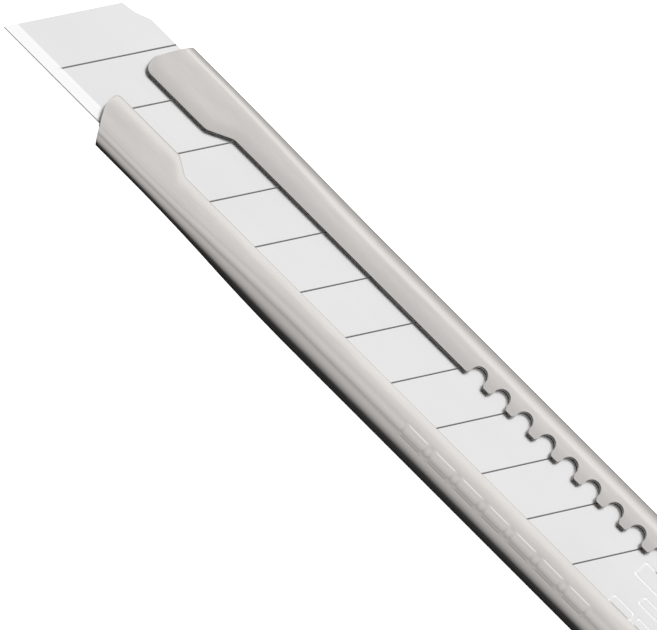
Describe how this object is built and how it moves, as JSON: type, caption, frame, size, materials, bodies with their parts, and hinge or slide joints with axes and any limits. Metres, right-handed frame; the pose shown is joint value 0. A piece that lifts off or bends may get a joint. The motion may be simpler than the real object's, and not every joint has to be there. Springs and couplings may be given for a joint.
{
  "type": "snap off knife",
  "caption": "Slim stainless snap-off knife: folded channel handle, leaning-scored 9 mm blade, auto-lock thumb slider, pocket clip and blade snapper.",
  "frame": {"origin": "on the handle's flat back plane, under the middle of the knife's overall length and width with the blade two segments out", "axes": "+X along the knife towards the blade tip, +Z out of the slotted face, so the cutting edge is on +Y"},
  "size_m": [0.1446, 0.011, 0.0081],
  "materials": {
    "handle_steel": "fine tumbled satin, brushed along the handle",
    "blade_steel": "ground satin, bevel ground finer",
    "clip_steel": "satin",
    "slider_steel": "satin with polished rib tops",
    "carrier_steel": "plain rolled sheet",
    "spring_steel": "rolled spring strip",
    "rivet_steel": "turned"
  },
  "bodies": {
    "handle": {"handle_channel": "handle_steel"},
    "clip": {"clip_snapper": "clip_steel"},
    "carriage": {"blade_carrier": "carrier_steel", "blade_stud": "rivet_steel", "lock_spring": "spring_steel", "spring_rivets": "rivet_steel", "blade_segment_02": "blade_steel", "blade_segment_03": "blade_steel", "blade_segment_04": "blade_steel", "blade_segment_05": "blade_steel", "blade_segment_06": "blade_steel", "blade_segment_07": "blade_steel", "blade_segment_08": "blade_steel", "blade_segment_09": "blade_steel", "blade_segment_10": "blade_steel", "blade_segment_11": "blade_steel", "blade_segment_12": "blade_steel", "blade_tang": "blade_steel"},
    "slider": {"lock_plate": "carrier_steel", "slider_neck": "carrier_steel", "thumb_slider": "slider_steel", "slider_rivets": "rivet_steel"},
    "blade_tip": {"blade_segment_01": "blade_steel"}
  },
  "joints": [
    {"name": "blade_slide", "type": "slide", "parent": "handle", "child": "carriage", "axis": [1, 0, 0], "range_m": [-0.015, 0.045]},
    {"name": "lock_press", "type": "slide", "parent": "carriage", "child": "slider", "axis": [0, 0, -1], "range_m": [0, 0.001], "stiffness_N_per_m": 2000, "springref_m": -0.0007, "deforming": ["lock_spring"]},
    {"name": "tip_snap", "type": "hinge", "parent": "carriage", "child": "blade_tip", "pos_m": [0.06461, -0.0002, 0.0037], "axis": [0.5224, 0.8527, 0], "range_deg": [0, 12]},
    {"name": "clip_pull", "type": "slide", "parent": "handle", "child": "clip", "axis": [-1, 0, 0], "range_m": [0, 0.02]}
  ]
}
